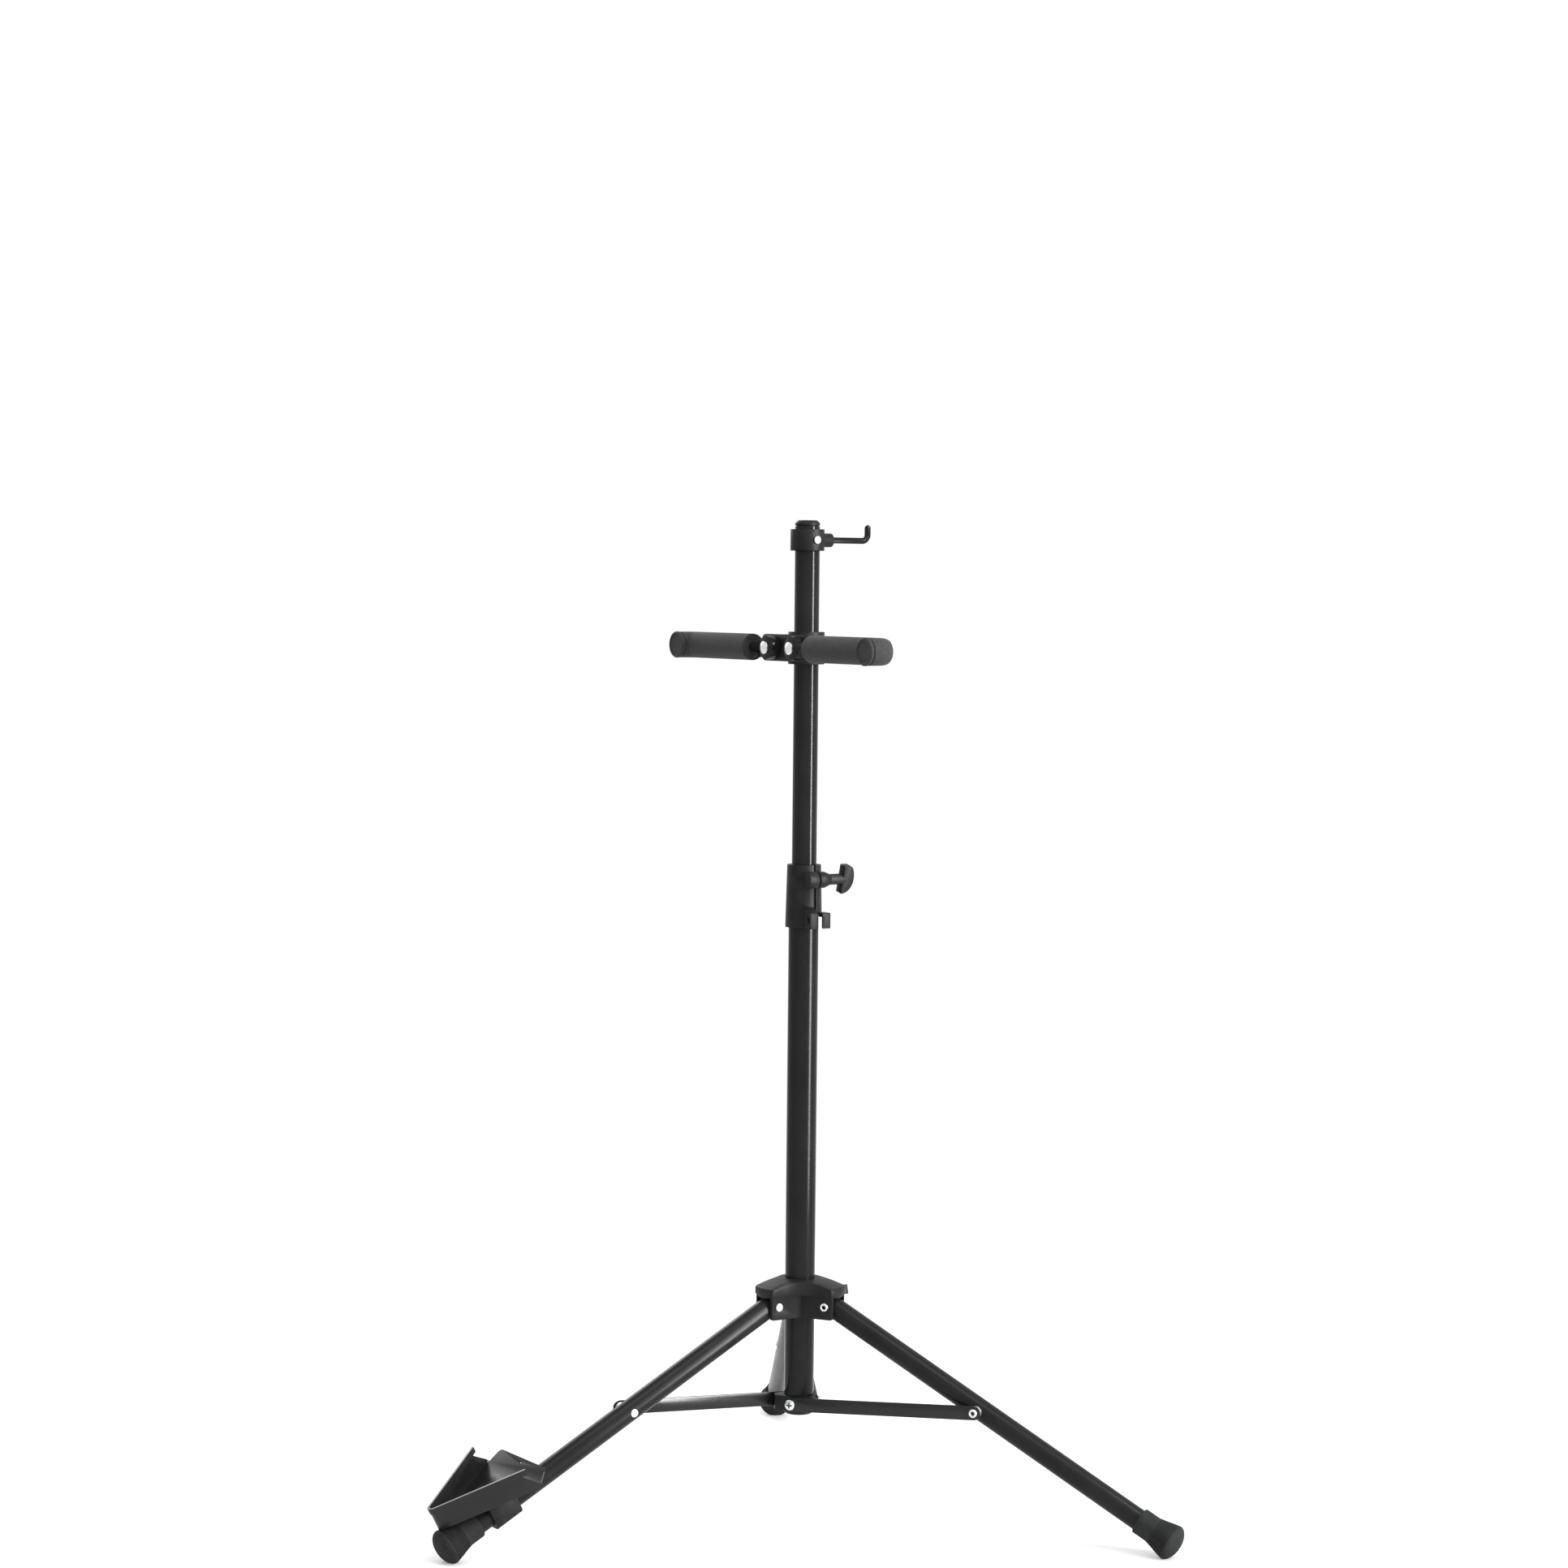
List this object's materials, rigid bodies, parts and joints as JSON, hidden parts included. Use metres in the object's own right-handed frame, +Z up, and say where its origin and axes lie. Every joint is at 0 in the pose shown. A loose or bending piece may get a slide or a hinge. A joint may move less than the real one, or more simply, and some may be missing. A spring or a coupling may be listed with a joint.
{
  "type": "cello stand",
  "caption": "Folding tripod stand for a large string instrument: telescoping mast, braced tube legs, a tray for the instrument's foot, padded support arms and a hanging peg.",
  "frame": {"origin": "middle of the bounding box on the floor", "axes": "+Z up along the mast; the leg with the tray points along -Y; the support arms lie along X"},
  "size_m": [0.6746, 0.5962, 0.9303],
  "materials": {
    "painted_steel": "black satin powder coat",
    "black_plastic": "matt moulded nylon",
    "rubber_foot": "matt rubber",
    "foam_sleeve": "matt foam rubber",
    "zinc_plated_steel": "bright zinc plate"
  },
  "bodies": {
    "mast": {"main_tube": "painted_steel", "lower_hub": "black_plastic", "height_collar": "black_plastic", "collar_screw": "painted_steel", "height_nut": "zinc_plated_steel", "link_screw_front": "zinc_plated_steel", "link_screw_right": "zinc_plated_steel", "link_screw_left": "zinc_plated_steel"},
    "upper_mast": {"inner_tube": "painted_steel", "inner_tube_guide": "black_plastic", "inner_tube_cap": "black_plastic", "head_bracket": "black_plastic", "head_bolt": "zinc_plated_steel", "head_nut": "zinc_plated_steel", "arm_bolt_right": "zinc_plated_steel", "arm_bolt_left": "zinc_plated_steel", "arm_nut_right": "zinc_plated_steel", "arm_nut_left": "zinc_plated_steel", "peg_clip": "black_plastic", "hanging_peg": "painted_steel", "peg_screw": "zinc_plated_steel"},
    "height_wing": {"height_knob": "black_plastic", "height_stud": "zinc_plated_steel"},
    "hub": {"leg_hub": "black_plastic", "hub_rivet_front": "zinc_plated_steel", "hub_rivet_right": "zinc_plated_steel", "hub_rivet_left": "zinc_plated_steel"},
    "hub_wing": {"hub_knob": "black_plastic", "hub_stud": "zinc_plated_steel"},
    "leg_front": {"leg_tube_front": "painted_steel", "foot_front": "rubber_foot", "leg_rivet_front": "zinc_plated_steel", "tray": "painted_steel", "tray_saddle": "black_plastic", "saddle_bolt": "zinc_plated_steel", "saddle_nut": "zinc_plated_steel", "tray_screw_right": "zinc_plated_steel", "tray_screw_left": "zinc_plated_steel"},
    "leg_right": {"leg_tube_right": "painted_steel", "foot_right": "rubber_foot", "leg_rivet_right": "zinc_plated_steel"},
    "leg_left": {"leg_tube_left": "painted_steel", "foot_left": "rubber_foot", "leg_rivet_left": "zinc_plated_steel"},
    "brace_front": {"link_front": "painted_steel", "link_eyelet_front": "zinc_plated_steel"},
    "brace_right": {"link_right": "painted_steel", "link_eyelet_right": "zinc_plated_steel"},
    "brace_left": {"link_left": "painted_steel", "link_eyelet_left": "zinc_plated_steel"},
    "support_right": {"arm_right": "painted_steel", "arm_sleeve_right": "foam_sleeve"},
    "support_left": {"arm_left": "painted_steel", "arm_sleeve_left": "foam_sleeve"}
  },
  "joints": [
    {"name": "height_slide", "type": "slide", "parent": "mast", "child": "upper_mast", "axis": [0, 0, 1], "range_m": [-0.16, 0.1]},
    {"name": "height_knob_turn", "type": "hinge", "parent": "mast", "child": "height_wing", "pos_m": [0.0182, 0.09516, 0.5956], "axis": [0, 1, 0], "range_deg": [0, 360]},
    {"name": "hub_slide", "type": "slide", "parent": "mast", "child": "hub", "axis": [0, 0, 1], "range_m": [0, 0.2645]},
    {"name": "hub_knob_turn", "type": "hinge", "parent": "hub", "child": "hub_wing", "pos_m": [0, 0.09516, 0.20171], "axis": [0, 1, 0], "range_deg": [0, 360]},
    {"name": "leg_fold_front", "type": "hinge", "parent": "hub", "child": "leg_front", "pos_m": [0, 0.06286, 0.19561], "axis": [1, 0, 0], "range_deg": [0, 62.1]},
    {"name": "brace_fold_front", "type": "hinge", "parent": "mast", "child": "brace_front", "pos_m": [0, 0.09516, 0.1005], "axis": [-1, 0, 0], "range_deg": [0, 76.03]},
    {"name": "leg_fold_right", "type": "hinge", "parent": "hub", "child": "leg_right", "pos_m": [0.02797, 0.11131, 0.19561], "axis": [-0.5, 0.866, 0], "range_deg": [0, 62.1]},
    {"name": "brace_fold_right", "type": "hinge", "parent": "mast", "child": "brace_right", "pos_m": [0, 0.09516, 0.1005], "axis": [0.5, -0.866, 0], "range_deg": [0, 76.03]},
    {"name": "leg_fold_left", "type": "hinge", "parent": "hub", "child": "leg_left", "pos_m": [-0.02797, 0.11131, 0.19561], "axis": [-0.5, -0.866, 0], "range_deg": [0, 62.1]},
    {"name": "brace_fold_left", "type": "hinge", "parent": "mast", "child": "brace_left", "pos_m": [0, 0.09516, 0.1005], "axis": [0.5, 0.866, 0], "range_deg": [0, 76.03]},
    {"name": "arm_fold_right", "type": "hinge", "parent": "upper_mast", "child": "support_right", "pos_m": [0.021, 0.06816, 0.8115], "axis": [0, -1, 0], "range_deg": [0, 90]},
    {"name": "arm_fold_left", "type": "hinge", "parent": "upper_mast", "child": "support_left", "pos_m": [-0.021, 0.06816, 0.8115], "axis": [0, 1, 0], "range_deg": [0, 90]}
  ],
  "couplings": [
    {"joint": "leg_fold_front", "follows": "hub_slide", "rad_per_m": 4.0975},
    {"joint": "brace_fold_front", "follows": "hub_slide", "rad_per_m": 5.0167},
    {"joint": "leg_fold_right", "follows": "hub_slide", "rad_per_m": 4.0975},
    {"joint": "brace_fold_right", "follows": "hub_slide", "rad_per_m": 5.0167},
    {"joint": "leg_fold_left", "follows": "hub_slide", "rad_per_m": 4.0975},
    {"joint": "brace_fold_left", "follows": "hub_slide", "rad_per_m": 5.0167}
  ]
}
